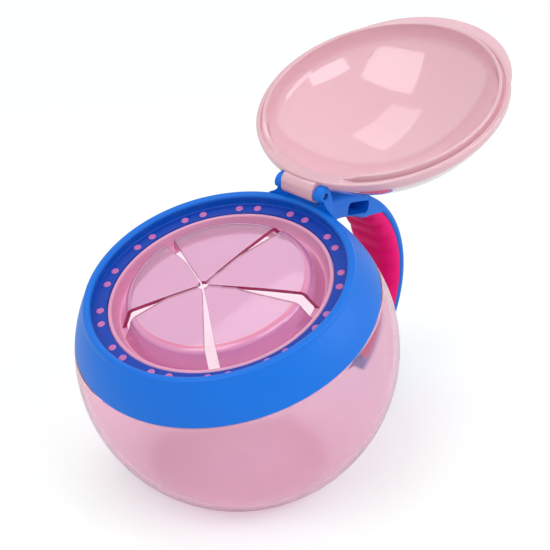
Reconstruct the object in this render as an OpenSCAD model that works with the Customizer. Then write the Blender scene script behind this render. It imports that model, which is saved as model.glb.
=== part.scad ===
// Toddler snack container: a round bowl with a screw-on collar, a soft flap that a small
// hand can push through, a hinged lid and a side handle.
// Origin: centre of the flat base. +Z is up, +Y points back, to the hinge and the handle.
// The opening leans forward, so the collar, flap and lid are drawn about a tilted axis
// through the centre of the bowl: "height" on that axis is measured from the bowl's centre.

/* [Bowl] */
// Outer radius of the ball shape that bowl, collar and lid share
bowl_r = 49; // [46:0.5:54]
// Wall thickness of the bowl
bowl_wall = 1.6; // [1.2:0.1:2.4]
// Radius of the flat base
base_r = 27; // [23:0.5:29]
// Thickness of the floor over the base
floor_t = 2.4; // [1.8:0.1:4]
// Lean of the opening towards the front, in degrees
opening_tilt = 17.2; // [10:0.2:22]

/* [Neck and seal] */
// Height of the shoulder where the collar meets the bowl
shoulder_h = 15.2; // [13:0.2:16]
// Height of the neck above the shoulder
neck_rise = 5.5; // [4.5:0.1:6]
// Wall thickness of the neck
neck_wall = 1.7; // [1.2:0.1:2.2]
// Gap between the neck and the collar around it
neck_fit = 0.3; // [0.2:0.05:0.4]
// Thickness of the soft seal on top of the neck
seal_t = 1.8; // [1.2:0.1:2.2]

/* [Collar] */
// Gap between the collar's lower edge and the shoulder
collar_gap = 0.2; // [0.1:0.05:0.4]
// Height of the collar's crest
crest_h = 28.3; // [27.5:0.1:29.5]
// Rounding radius of the crest, half of its width
crest_round = 1.35; // [1.1:0.05:1.5]
// Thickness of the ledge that carries the flap
ledge_t = 2.3; // [1.8:0.1:2.6]
// Width of the ledge between the crest and the hole in it
ledge_w = 4.2; // [3.8:0.1:5]
// Thinnest wall of the collar, at the top of its socket
collar_wall = 1.7; // [1.3:0.1:2]

/* [Flap] */
// Thickness of the soft flap
flap_t = 1.2; // [0.8:0.1:1.4]
// Gap between the flange under the ledge and the inside of the neck
flange_gap = 1.4; // [1:0.1:1.8]
// Distance from the hole in the ledge to the edge of the flap's raised middle
drum_in = 5.7; // [5.4:0.1:8]
// Height of the raised middle's edge above the top of the ledge
drum_rise = 2.5; // [1.5:0.1:3]
// Extra height of the raised middle at its centre
crown_rise = 1.5; // [0.8:0.1:2]
// Depth of the moat around the raised middle, below the top of the ledge
moat_depth = 3.8; // [3:0.1:4.2]
// Spread of the raised middle's wall from top to bottom
drum_flare = 2.2; // [1.5:0.1:2.4]
// Width of the flat floor of the moat
moat_w = 0.7; // [0.4:0.1:1]
// Number of petals
petals = 5; // [5:5]
// Angle of the first slit from the back, in degrees
slit_turn = -1; // [-12:1:12]
// Sideways place of the point where the slits meet
star_x = -2; // [-3:0.5:3]
// Backward place of the point where the slits meet
star_y = -4; // [-5:0.5:5]
// Width of a slit near the star point
slit_w = 0.5; // [0.4:0.05:0.8]
// Width of a slit at the edge of the raised middle
slit_end_w = 3.6; // [2:0.1:4]
// Radius of the small hole where the slits meet
star_hole_r = 1.2; // [0.8:0.1:2]
// Gap along the line where a petal folds
fold_gap = 0.3; // [0.2:0.05:0.4]
// Number of pairs of pegs that lock the flap into the ledge
peg_pairs = 13; // [11:1:14]
// Angle between the two pegs of a pair, in degrees
peg_pair_angle = 9.4; // [8.5:0.1:10.5]
// Radius of one peg
peg_r = 1.2; // [0.7:0.05:1.3]
// Gap around a peg in its hole
peg_fit = 0.05; // [0.03:0.01:0.1]

/* [Hinge] */
// Height of the hinge axis above the crest
hinge_rise = 4.5; // [4.3:0.1:5.2]
// Distance of the hinge axis behind the rim of the lid
hinge_back = 0.5; // [0.4:0.1:1.2]
// Radius of the ears and of the lid's knuckle
knuckle_r = 2.9; // [2.6:0.1:3.1]
// Width of the lid's knuckle
knuckle_w = 12.2; // [10:0.2:14]
// Gap on each side of the knuckle
knuckle_gap = 0.3; // [0.2:0.05:0.5]
// Thickness of one ear
ear_t = 2.8; // [2.2:0.1:3.4]
// Gap between the ears and the lid around them
ear_gap = 0.3; // [0.2:0.05:0.5]
// Depth of the ears below the hinge axis
ear_depth = 12; // [10:0.2:13]
// Radius of the hollow curve that runs from an ear out to the crest
flare_r = 4; // [2.5:0.5:5]
// Radius of the hinge pin
pin_r = 1.1; // [0.9:0.05:1.3]
// Running gap between the pin and the knuckle's bore
pin_fit = 0.06; // [0.03:0.01:0.09]
// Depth of the pin's ends below the outer faces of the ears
pin_recess = 0.4; // [0.2:0.1:0.8]

/* [Lid] */
// Wall thickness of the lid
lid_wall = 1.6; // [1.2:0.1:2]
// Gap between the lid's rim and the crest when the lid is shut
lid_gap = 0.3; // [0.2:0.05:0.5]
// How far the lid's rim stands out over the ball shape
rim_over = 0.4; // [0.2:0.1:0.6]
// How far the dome is raised above the ball shape
dome_lift = 3; // [2:0.1:4]
// Depth of the plug ring below the rim
plug_drop = 1.5; // [1:0.1:2.4]
// Width of the stretch at the hinge that has no plug ring
plug_break = 34; // [24:1:40]
// Wall thickness of the plug ring
plug_wall = 1.2; // [0.9:0.1:1.5]
// Gap between the plug ring and the inside of the crest
plug_fit = 0.4; // [0.3:0.05:0.5]
// Width of the groove between the plug ring and the rim
groove_w = 0.7; // [0.3:0.1:0.8]
// Depth of that groove
groove_depth = 1.6; // [0.8:0.1:2]
// How far the thumb lip stands out at the front
lip_out = 3.6; // [3:0.1:5]
// Radius of the thumb lip's front edge
lip_r = 36; // [28:0.5:38]
// Thickness of the thumb lip
lip_t = 1.8; // [1.2:0.1:2]
// Height of the thumb lip above the rim's lower edge
lip_rise = 0.4; // [0.2:0.1:0.6]
// Angle that the lid opens from shut, in degrees
lid_open = 177.5; // [150:0.5:177.5]

/* [Handle] */
// Room for the fingers between the bowl and the grip
finger_gap = 14; // [12:0.5:18]
// Radius of the handle's outer curve
handle_r = 38; // [36:0.5:40]
// Distance of that curve below the hinge axis, where the handle meets the collar
root_drop = 3; // [2:0.1:4]
// Width of the handle
handle_w = 17.6; // [15:0.2:18]
// Thickness of the hard shell on the outside of the handle
shell_t = 2.6; // [2:0.1:3.2]
// Thickness of the soft grip on the inside of the handle
grip_t = 4.9; // [4:0.1:5.6]
// Rounding of the handle's edges
handle_round = 1.5; // [1:0.1:1.9]
// Gap between the bowl and the lower end of the handle
tip_gap = 5.2; // [4:0.1:8]
// Length of the hard end below the grip
tip_len = 3; // [2:0.5:5]
// Depth of the handle's hard root, from the top of the curve down to the grip
root_depth = 11.5; // [10.5:0.1:13]
// Spacing of the finger grooves
rib_pitch = 6; // [5:0.5:8]
// Radius of one finger groove
rib_r = 1.6; // [1.2:0.1:2]
// Depth of one finger groove
rib_depth = 0.7; // [0.4:0.1:0.9]
// Length of the pocket in each side of the handle's root
pocket_len = 9.4; // [8:0.2:11]
// Height of that pocket
pocket_h = 4.6; // [4:0.1:5]
// Rounding of the pocket's corners
pocket_round = 1.1; // [0.8:0.1:1.6]
// Depth of that pocket
pocket_depth = 7; // [4:0.2:7.2]
// Gap between the open lid and the seat for it in the handle's root
seat_gap = 0.4; // [0.3:0.05:0.8]
// Distance of the pocket's middle from the hinge axis, along the outer curve
pocket_from = 18.2; // [17.4:0.1:18.8]

/* [Hidden] */

round_fn = 180;
ball_fn = 240;
peg_fn = 24;
eps = 0.01;
far = 3 * bowl_r;

// Height of the bowl's centre above the table
centre_h = sqrt(pow(bowl_r, 2) - pow(base_r, 2));

// Radius of the ball at a height on the opening axis
function ball_at(h) = sqrt(pow(bowl_r, 2) - pow(h, 2));

// Neck, socket and ledge heights, from the shoulder up
collar_low_h = shoulder_h + collar_gap;
neck_top_h = shoulder_h + neck_rise;
socket_top_h = neck_top_h + seal_t;
ledge_top_h = socket_top_h + ledge_t;
socket_r = ball_at(socket_top_h) - collar_wall;
neck_r = socket_r - neck_fit;
neck_bore_r = neck_r - neck_wall;

// Crest, as a round bead on top of the collar's wall
crest_mid_h = crest_h - crest_round;
crest_mid_r = ball_at(crest_mid_h) - crest_round;
crest_inner_r = crest_mid_r - crest_round;

// Flap heights and radii
ledge_hole_r = crest_inner_r - ledge_w;
flange_r = neck_bore_r - flange_gap;
drum_r = ledge_hole_r - drum_in;
peg_ring_r = (ledge_hole_r + crest_inner_r) / 2;
drum_top_h = ledge_top_h + drum_rise;
moat_h = ledge_top_h - moat_depth;
bead_r = flap_t * 0.6;
drum_foot_r = drum_r + drum_flare;
drum_top_r = drum_r - flap_t;
crown_r = (pow(drum_top_r, 2) + pow(crown_rise, 2)) / (2 * crown_rise);
crown_mid_h = drum_top_h + crown_rise - crown_r;
slit_end_r = drum_foot_r + flap_t / 2;
petal_step = 360 / petals;
fold_r = drum_r * cos(petal_step / 2) - slit_w;
fold_h = crown_mid_h + sqrt(pow(crown_r - flap_t, 2) - pow(drum_top_r, 2));
fold_slope = 22;

// Lid and hinge places, with the lid shut
rim_h = crest_h + lid_gap;
rim_r = ball_at(rim_h) + rim_over;
plug_r = crest_inner_r - plug_fit;
plug_bore_r = plug_r - plug_wall;
hinge_h = crest_h + hinge_rise;
hinge_r = rim_r + hinge_back;
ear_in_x = knuckle_w / 2 + knuckle_gap;
ear_out_x = ear_in_x + ear_t;
pin_half = ear_out_x - pin_recess;
hinge_slot_r = norm([hinge_back, hinge_h - rim_h]) + knuckle_gap;

// Front edge of the ears, just behind the lid's rim beside the knuckle
ear_front_r = sqrt(pow(rim_r, 2) - pow(ear_in_x, 2)) + ear_gap;

// Middle of the hollow curve beside an ear: it touches the ear's outer face, the top of the
// crest and the outer edge of the crest
crest_out_r = crest_mid_r + crest_round;
flare_x = ear_out_x + flare_r;
flare_y = sqrt(pow(crest_out_r + flare_r, 2) - pow(flare_x, 2));
flare_h = crest_h + flare_r;

// Hinge axis seen from the side, from the bowl's centre
hinge_y = hinge_r * cos(opening_tilt) - hinge_h * sin(opening_tilt);
hinge_z = hinge_r * sin(opening_tilt) + hinge_h * cos(opening_tilt);

// Handle's curve: it clears the bowl by the finger gap and passes just below the hinge axis
handle_t = shell_t + grip_t;
handle_y = bowl_r + finger_gap + handle_t - handle_r;
handle_lift = hinge_z - root_drop - sqrt(pow(handle_r, 2) - pow(hinge_y - handle_y, 2));
handle_in_r = handle_r - handle_t;
strip_in_r = handle_r - shell_t;
function along(length) = length / handle_r * 180 / PI;

// Angles on that curve, from level behind the bowl upwards
hinge_angle = atan2(hinge_z - root_drop - handle_lift, hinge_y - handle_y);
root_angle = hinge_angle + along(11.3);
pocket_angle = hinge_angle - along(pocket_from);
curve_off = norm([handle_y, handle_lift]);
tip_angle = acos((pow(bowl_r + tip_gap, 2) - pow(curve_off, 2) - pow(handle_in_r, 2))
                 / (2 * handle_in_r * curve_off)) - atan2(handle_lift, handle_y);
tip_step = along(tip_len);

// Top end of the grip: level near the bowl, then sloping down behind a bend
grip_top = handle_r - root_depth;
grip_top_slope = -11;
grip_top_angle = asin(grip_top / handle_in_r);
grip_bend = sqrt(pow(handle_in_r, 2) - pow(grip_top, 2)) + 3.6;
strip_top_angle = hinge_angle - 35;
rib_step = rib_pitch / handle_in_r * 180 / PI;
rib_half = rib_r / handle_in_r * 180 / PI;

// Puts something about the tilted opening axis, with the bowl's centre as zero height
module on_opening() {
  translate([0, 0, centre_h]) rotate([opening_tilt, 0, 0]) children();
}

// Puts a flat outline of (backward, height) points into the middle plane, thickened along X
module side_plate(from_x, thickness) {
  translate([from_x, 0, 0]) rotate([90, 0, 90]) linear_extrude(thickness) children();
}

// Puts something at the centre of the handle's curve, with its axis along X
module on_handle() {
  translate([0, handle_y, centre_h + handle_lift]) rotate([90, 0, 90]) children();
}

// A rectangle with rounded corners, centred
module rounded_rect(w, h, r) {
  square([w - 2 * r, h], center = true);
  square([w, h - 2 * r], center = true);
  for (sx = [-1, 1], sy = [-1, 1])
    translate([sx * (w / 2 - r), sy * (h / 2 - r)]) circle(r, $fn = 32);
}

// ---------------------------------------------------------------- bowl
module bowl_section() {
  difference() {
    circle(bowl_r, $fn = ball_fn);
    circle(bowl_r - bowl_wall, $fn = ball_fn);
    translate([-far, -far]) square([far, 2 * far]);
    translate([0, shoulder_h - bowl_wall]) square([far, far]);
  }
  intersection() {
    circle(bowl_r, $fn = ball_fn);
    translate([neck_bore_r, shoulder_h - bowl_wall]) square([bowl_r, bowl_wall]);
  }
  translate([neck_bore_r, shoulder_h - eps]) square([neck_wall, neck_rise + eps]);
}

module bowl() {
  color([0.94, 0.72, 0.80, 0.6])
  difference() {
    union() {
      on_opening() rotate_extrude($fn = round_fn) bowl_section();
      intersection() {
        translate([0, 0, centre_h]) sphere(bowl_r - bowl_wall / 2, $fn = ball_fn);
        cylinder(h = floor_t, r = bowl_r, $fn = round_fn);
      }
    }
    translate([0, 0, -far]) cylinder(h = far, r = bowl_r, $fn = round_fn);
  }
}

module neck_seal() {
  color([0.95, 0.95, 0.93])
  on_opening() rotate_extrude($fn = round_fn)
    translate([neck_bore_r, neck_top_h]) square([neck_wall, seal_t]);
}

// ---------------------------------------------------------------- collar
module collar_section() {
  difference() {
    intersection() {
      circle(bowl_r, $fn = ball_fn);
      translate([0, collar_low_h]) square([bowl_r, crest_mid_h - collar_low_h]);
    }
    square([socket_r, socket_top_h]);
    square([ledge_hole_r, far]);
    translate([0, ledge_top_h]) square([crest_inner_r, far]);
  }
  translate([crest_mid_r, crest_mid_h]) circle(crest_round, $fn = 48);
}

// Places something at every peg of the flap
module at_pegs() {
  for (pair = [0 : peg_pairs - 1], side = [-1, 1])
    rotate(90 + pair * 360 / peg_pairs + side * peg_pair_angle / 2)
      translate([peg_ring_r, 0, 0]) children();
}

// Side outline of one ear: a round eye on a straight foot that stands in the collar's wall
module ear_outline() {
  translate([hinge_r, hinge_h]) circle(knuckle_r, $fn = 64);
  translate([ear_front_r, hinge_h - ear_depth])
    square([hinge_r + knuckle_r - ear_front_r, ear_depth]);
}

module ears() {
  for (from_x = [ear_in_x, -ear_out_x])
    side_plate(from_x, ear_t) ear_outline();
}

// Corner between an ear's outer face and the crest, hollowed from above and from behind
module ear_flare() {
  difference() {
    translate([ear_out_x - ear_gap, 0, crest_mid_h])
      cube([ear_gap + flare_r, flare_y, flare_h - crest_mid_h]);
    cylinder(h = far, r = rim_r + ear_gap, $fn = round_fn);
    translate([flare_x, flare_y, 0]) cylinder(h = far, r = flare_r, $fn = 64);
    translate([flare_x, far, flare_h]) rotate([90, 0, 0]) cylinder(h = 2 * far, r = flare_r, $fn = 64);
  }
}

module collar() {
  color([0.12, 0.44, 0.86])
  on_opening() {
    difference() {
      rotate_extrude($fn = round_fn) collar_section();
      at_pegs() translate([0, 0, socket_top_h - 1])
        cylinder(h = ledge_t + 2, r = peg_r + peg_fit, $fn = peg_fn);
    }
    difference() {
      union() {
        ears();
        ear_flare();
        mirror([1, 0, 0]) ear_flare();
      }
      sphere(bowl_r - crest_round, $fn = ball_fn);
      on_hinge(-far / 2, far, pin_r, 48);
    }
  }
}

// ---------------------------------------------------------------- handle
// A stretch of the handle's curve between two angles, from one radius out to another
module curve_band(from_r, to_r, from_a, to_a, edge) {
  rotate([0, 0, from_a]) rotate_extrude(angle = to_a - from_a, $fn = round_fn)
    translate([(from_r + to_r) / 2, 0]) rounded_rect(to_r - from_r, handle_w, edge);
}

// Everything above the line where the grip ends, as a flat outline about the curve's centre
module above_grip() {
  translate([grip_bend, grip_top]) rotate(grip_top_slope) square([2 * far, far]);
  translate([-far, grip_top]) square([2 * far, far]);
}

module handle_body() {
  on_handle() {
    // thin outer strip
    curve_band(strip_in_r, handle_r, -tip_angle, strip_top_angle, shell_t / 2 - 0.05);
    // hard end below the grip
    curve_band(handle_in_r, handle_r, -tip_angle, tip_step - tip_angle, handle_round);
    // full root above the grip
    intersection() {
      curve_band(handle_in_r, handle_r, grip_top_angle / 2, root_angle, handle_round);
      translate([0, 0, -handle_w]) linear_extrude(2 * handle_w) above_grip();
    }
  }
}

module pockets() {
  on_handle() for (side = [-1, 1])
    translate([0, 0, side * (handle_w / 2 + 1 - pocket_depth / 2)])
      rotate(pocket_angle) translate([handle_r - handle_t / 2, 0])
        linear_extrude(pocket_depth + 2, center = true)
          rounded_rect(pocket_h, pocket_len, pocket_round);
}

module handle() {
  color([0.14, 0.46, 0.88])
  difference() {
    handle_body();
    pockets();
    translate([0, 0, centre_h]) sphere(bowl_r, $fn = ball_fn);
    on_opening() {
      ears();
      on_hinge(-ear_in_x, 2 * ear_in_x, hinge_slot_r, 64);
      translate([0, 0, crest_h]) cylinder(h = far, r = rim_r + seat_gap, $fn = round_fn);
      swung_open() at_dome() sphere(bowl_r + seat_gap, $fn = ball_fn);
    }
  }
}

module grip() {
  color([0.85, 0.11, 0.42])
  on_handle() difference() {
    curve_band(handle_in_r, strip_in_r, tip_step - tip_angle, hinge_angle - 15, handle_round);
    translate([0, 0, -handle_w]) linear_extrude(2 * handle_w) above_grip();
    for (a = [tip_step - tip_angle + rib_step : rib_step : grip_top_angle - rib_half])
      rotate(a) translate([handle_in_r + rib_depth - rib_r, 0, -handle_w])
        cylinder(h = 2 * handle_w, r = rib_r, $fn = 32);
  }
}

// ---------------------------------------------------------------- flap
// Point on a circle at an angle from the back, turning towards +X
function from_back(r, a) = [r * sin(a), r * cos(a)];
function slit_angle(k) = slit_turn + k * petal_step;
star = [star_x, star_y];
function slit_end(k) = from_back(slit_end_r, slit_angle(k));
// A point on the line of slit k, well past the drum
function beyond_slit(k) = star + 3 * (slit_end(k) - star);

// Half width of a slit at a share s of its way from the star to the drum's edge
function slit_half(s) =
  slit_w / 2 + (slit_end_w - slit_w) / 2 * pow(max(0, min(1, (s - 0.35) / 0.65)), 1.6);

// One slit as a flat outline, from the star point out to the foot of the drum
module slit_outline(k) {
  end = slit_end(k);
  len_all = norm(end - star);
  len_drum = norm(from_back(drum_r, slit_angle(k)) - star);
  steps = 12;
  translate(star) rotate(atan2(end[1] - star[1], end[0] - star[0]))
    polygon(concat(
      [for (i = [0 : steps]) [len_all * i / steps, slit_half(len_all * i / steps / len_drum)]],
      [for (i = [steps : -1 : 0]) [len_all * i / steps, -slit_half(len_all * i / steps / len_drum)]]
    ));
}

module slits() {
  translate([0, 0, moat_h]) linear_extrude(far) {
    for (k = [0 : petals - 1]) slit_outline(k);
    translate(star) circle(star_hole_r, $fn = 24);
  }
}

// Section of the crowned top of the drum
module crown_section() {
  intersection() {
    translate([0, crown_mid_h]) difference() {
      circle(crown_r, $fn = 1440);
      circle(crown_r - flap_t, $fn = 1440);
    }
    translate([0, drum_top_h - 2 * flap_t]) square([drum_top_r, 3 * flap_t + crown_rise]);
  }
}

// Turns to the middle of petal k, with +X pointing out across its fold line
module at_petal(k) {
  rotate(90 - slit_angle(k) - petal_step / 2) children();
}

// The space inside the fold line of petal k, leaning away from the fold towards the top
module inside_fold(k) {
  at_petal(k) translate([fold_r - fold_gap, 0, fold_h]) rotate([0, -fold_slope, 0])
    translate([-far, -far / 2, -far / 2]) cube([far, far, far]);
}

// The prism between all the fold lines
module fold_prism() {
  corner_r = fold_r / cos(petal_step / 2);
  linear_extrude(far) polygon([for (k = [0 : petals - 1]) from_back(corner_r, slit_angle(k))]);
}

// Section of the flap outside its petals: drum wall, moat, rim and the flange under the ledge
module flap_section() {
  rim_in_r = ledge_hole_r - 2 * bead_r;
  moat_out_r = drum_foot_r + moat_w;
  bead_h = ledge_top_h - bead_r;
  edge_h = drum_top_h - flap_t;
  under_h = moat_h - flap_t;
  flange_low_h = socket_top_h - flap_t;
  polygon([
    [drum_r, edge_h], [drum_foot_r, moat_h], [moat_out_r, moat_h], [rim_in_r, bead_h],
    [ledge_hole_r, bead_h], [ledge_hole_r, socket_top_h], [flange_r, socket_top_h],
    [flange_r, flange_low_h], [rim_in_r + moat_w, flange_low_h],
    [moat_out_r + moat_w, under_h], [drum_foot_r - flap_t, under_h], [drum_top_r, edge_h]
  ]);
  translate([ledge_hole_r - bead_r, bead_h]) circle(bead_r, $fn = 32);
  translate([drum_top_r, edge_h]) circle(flap_t, $fn = 48);
}

module flap_ring() {
  color([0.90, 0.62, 0.78, 0.75])
  on_opening() {
    difference() {
      rotate_extrude($fn = round_fn) {
        flap_section();
        crown_section();
      }
      translate([0, 0, moat_h]) fold_prism();
      slits();
    }
    at_pegs() translate([0, 0, socket_top_h - flap_t / 2])
      cylinder(h = ledge_t + flap_t / 2, r = peg_r, $fn = peg_fn);
  }
}

module petal(k) {
  color([0.91, 0.66, 0.80, 0.75])
  on_opening() difference() {
    intersection() {
      rotate_extrude($fn = round_fn) crown_section();
      inside_fold(k);
      translate([0, 0, moat_h]) linear_extrude(far)
        polygon([star, beyond_slit(k), beyond_slit(k + 1)]);
    }
    slits();
  }
}

module petal_1() petal(0);
module petal_2() petal(1);
module petal_3() petal(2);
module petal_4() petal(3);
module petal_5() petal(4);

// ---------------------------------------------------------------- lid
// The dome's ball shape, shrunk by a distance
module dome_disc(inset) {
  translate([0, dome_lift]) circle(bowl_r - inset, $fn = ball_fn);
}

module lid_section() {
  difference() {
    union() {
      intersection() {
        dome_disc(0);
        translate([0, rim_h]) square([rim_r, far]);
      }
      translate([plug_bore_r, rim_h - plug_drop]) square([plug_wall, plug_drop + eps]);
    }
    intersection() {
      dome_disc(lid_wall);
      translate([-far, -far]) square([far + plug_bore_r, 2 * far]);
    }
    translate([plug_r, rim_h - eps]) square([groove_w, groove_depth + eps]);
  }
}

// Puts something at the dome's centre
module at_dome() {
  translate([0, 0, dome_lift]) children();
}

// Thumb lip: a wide crescent at the front of the rim
module lip() {
  translate([0, 0, rim_h + lip_rise]) linear_extrude(lip_t) difference() {
    translate([0, lip_r - rim_r - lip_out]) circle(lip_r, $fn = 96);
    circle(rim_r - lid_wall / 2, $fn = round_fn);
  }
}

// Web between the dome and the knuckle, as a side outline
module tab_outline() {
  polygon([
    [plug_r + groove_w, rim_h], [rim_r, rim_h], [hinge_r + 0.6, hinge_h - knuckle_r + 0.07],
    [hinge_r, hinge_h], [hinge_r - 0.6, hinge_h + knuckle_r - 0.07],
    [hinge_r - knuckle_r - 0.7, hinge_h + knuckle_r], [plug_r - 1, hinge_h + knuckle_r - 1.5],
    [plug_r, hinge_h]
  ]);
}

// Puts something along the hinge axis, from one end to the other
module on_hinge(from_x, length, r, fn) {
  translate([from_x, hinge_r, hinge_h]) rotate([0, 90, 0]) cylinder(h = length, r = r, $fn = fn);
}

module lid_shut() {
  difference() {
    union() {
      rotate_extrude($fn = round_fn) lid_section();
      lip();
      difference() {
        side_plate(-knuckle_w / 2, knuckle_w) tab_outline();
        at_dome() sphere(bowl_r - lid_wall / 2, $fn = ball_fn);
      }
    }
    // break in the plug ring at the hinge
    translate([-plug_break / 2, 0, rim_h - far]) cube([plug_break, far, far]);
    // room for the ears' eyes
    for (from_x = [ear_in_x - ear_gap, -ear_out_x - ear_gap])
      on_hinge(from_x, ear_t + 2 * ear_gap, knuckle_r + ear_gap, 64);
    on_hinge(-knuckle_w / 2 - eps, knuckle_w + 2 * eps, knuckle_r - eps, 64);
  }
  difference() {
    on_hinge(-knuckle_w / 2, knuckle_w, knuckle_r, 64);
    on_hinge(-far / 2, far, pin_r + pin_fit, 48);
  }
}

// Turns the lid from shut to open
module swung_open() {
  translate([0, hinge_r, hinge_h]) rotate([-lid_open, 0, 0]) translate([0, -hinge_r, -hinge_h])
    children();
}

module lid() {
  color([0.96, 0.76, 0.80, 0.7])
  on_opening() swung_open() lid_shut();
}

module hinge_pin() {
  color([0.80, 0.82, 0.86])
  on_opening() on_hinge(-pin_half, 2 * pin_half, pin_r, 48);
}

bowl();
neck_seal();
collar();
handle();
grip();
flap_ring();
petal_1();
petal_2();
petal_3();
petal_4();
petal_5();
lid();
hinge_pin();
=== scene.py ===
import math

import bpy
from mathutils import Matrix, Vector


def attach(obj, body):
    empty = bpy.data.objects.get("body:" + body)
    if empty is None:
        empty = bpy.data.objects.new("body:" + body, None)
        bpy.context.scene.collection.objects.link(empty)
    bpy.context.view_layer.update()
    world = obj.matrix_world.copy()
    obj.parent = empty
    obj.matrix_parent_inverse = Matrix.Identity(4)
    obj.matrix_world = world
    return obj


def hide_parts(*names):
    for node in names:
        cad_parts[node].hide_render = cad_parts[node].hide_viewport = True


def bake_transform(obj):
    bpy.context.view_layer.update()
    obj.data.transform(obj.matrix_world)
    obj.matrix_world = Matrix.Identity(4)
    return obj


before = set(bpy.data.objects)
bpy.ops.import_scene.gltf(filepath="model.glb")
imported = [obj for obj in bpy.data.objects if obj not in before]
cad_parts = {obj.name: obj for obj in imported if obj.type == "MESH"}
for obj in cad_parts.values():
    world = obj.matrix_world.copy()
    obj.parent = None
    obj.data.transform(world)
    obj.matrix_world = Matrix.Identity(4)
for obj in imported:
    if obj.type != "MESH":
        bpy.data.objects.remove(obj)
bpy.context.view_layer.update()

# ------------------------------------------------------------------ sizes, in millimetres
# Heights marked _h are measured along the leaning opening axis, from the ball's centre.
BALL_R, BALL_WALL = 49.0, 1.6
BASE_R, FLOOR_T = 27.0, 2.4
CENTRE_H = math.sqrt(BALL_R ** 2 - BASE_R ** 2)
TILT = math.radians(17.2)
SHOULDER_H, NECK_TOP_H, SOCKET_TOP_H, LEDGE_TOP_H = 15.2, 20.7, 22.5, 24.8
NECK_R, NECK_BORE_R, SOCKET_R = 41.53, 39.83, 41.83
CREST_H, CREST_R, CREST_ROUND, LEDGE_HOLE_R = 28.3, 38.22, 1.35, 34.02
COLLAR_LOW_H, COLLAR_HIGH_H = 15.4, 26.6  # ends of the collar's ball-shaped side
THREAD_PITCH = 6.0
DRUM_R, DRUM_TOP_H, DRUM_EDGE_R, MOAT_H = 28.32, 27.3, 2.6, 21.0
FLAP_T, CROWN_RISE = 1.2, 1.5
FLANGE_R = 38.43
STAR, STAR_R, SLIT_TURN = (-2.0, -4.0), 1.6, -1.0
PEG_PAIRS, PEG_SPREAD, PEG_R, PEG_FIT = 13, 4.7, 1.2, 0.08  # spread in degrees from a pair's middle
RIM_H, RIM_R, DOME_LIFT, LID_WALL = 28.6, 40.19, 3.0, 1.6
PLUG_R, PLUG_BORE_R, PLUG_DROP = 37.82, 36.62, 1.5
HINGE_R, HINGE_H, LID_OPEN = 40.69, 32.8, math.radians(177.5)
KNUCKLE_R, KNUCKLE_W, EAR_IN_X, EAR_T, PIN_R = 2.9, 12.2, 6.4, 2.8, 1.1
HANDLE_Y, HANDLE_LIFT, HANDLE_R, HANDLE_W, SHELL_T, GRIP_T = 32.5, 2.5, 38.0, 17.6, 2.6, 4.9


# ------------------------------------------------------------------ modelling helpers
def only(obj):
    """Selects one object and nothing else."""
    bpy.ops.object.select_all(action="DESELECT")
    obj.select_set(True)
    bpy.context.view_layer.objects.active = obj
    return obj


def edit(obj, mode="VERT", select="SELECT"):
    """Opens one object in edit mode with everything, or nothing, selected."""
    only(obj)
    bpy.ops.object.mode_set(mode="EDIT")
    bpy.ops.mesh.select_mode(type=mode)
    bpy.ops.mesh.select_all(action=select)


def done():
    """Closes edit mode."""
    bpy.ops.object.mode_set(mode="OBJECT")
    return bpy.context.object


def pick(obj, kind, test):
    """Opens one object with the edges or faces selected whose ends, or centre and normal, pass a test."""
    edit(obj, {"edges": "EDGE", "polygons": "FACE"}[kind], "DESELECT")
    bpy.ops.object.mode_set(mode="OBJECT")
    mesh = obj.data
    for item in getattr(mesh, kind):
        if kind == "edges":
            item.select = test(*(mesh.vertices[i].co for i in item.vertices))
        else:
            item.select = test(item.center, item.normal)
    bpy.ops.object.mode_set(mode="EDIT")


def ease(obj, test, width, parts, clamp=True):
    """Rounds over the edges that pass a test on their two ends."""
    pick(obj, "edges", test)
    bpy.ops.mesh.bevel(offset=width, segments=parts, affect="EDGES", clamp_overlap=clamp)
    done()


def arc(centre, radius, start, end, parts):
    """Points on a circle between two angles in degrees, in the (radius, height) plane."""
    return [(centre[0] + radius * math.cos(math.radians(start + (end - start) * i / parts)), centre[1]
             + radius * math.sin(math.radians(start + (end - start) * i / parts)))
            for i in range(parts + 1)]


def rounded(corners, parts=4):
    """A closed outline from (a, b, rounding) corners, each corner rounded by its own radius."""
    out = []
    for i, (px, py, r) in enumerate(corners):
        ax, ay = corners[i - 1][:2]
        bx, by = corners[(i + 1) % len(corners)][:2]
        if r <= 0:
            out.append((px, py))
            continue
        u, v = Vector((ax - px, ay - py)), Vector((bx - px, by - py))
        lu, lv = u.length, v.length
        u.normalize(), v.normalize()
        half = math.acos(max(-1.0, min(1.0, u.dot(v)))) / 2
        if half > math.radians(88):
            out.append((px, py))
            continue
        t = min(r / math.tan(half), 0.48 * lu, 0.48 * lv)
        r = t * math.tan(half)
        c = Vector((px, py)) + (u + v).normalized() * (r / math.sin(half))
        p, q = Vector((px, py)) + u * t - c, Vector((px, py)) + v * t - c
        turn = math.atan2(p.x * q.y - p.y * q.x, p.dot(q))
        for k in range(parts + 1):
            a = turn * k / parts
            out.append((c.x + p.x * math.cos(a) - p.y * math.sin(a), c.y + p.x * math.sin(a)
                        + p.y * math.cos(a)))
    return out


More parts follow.
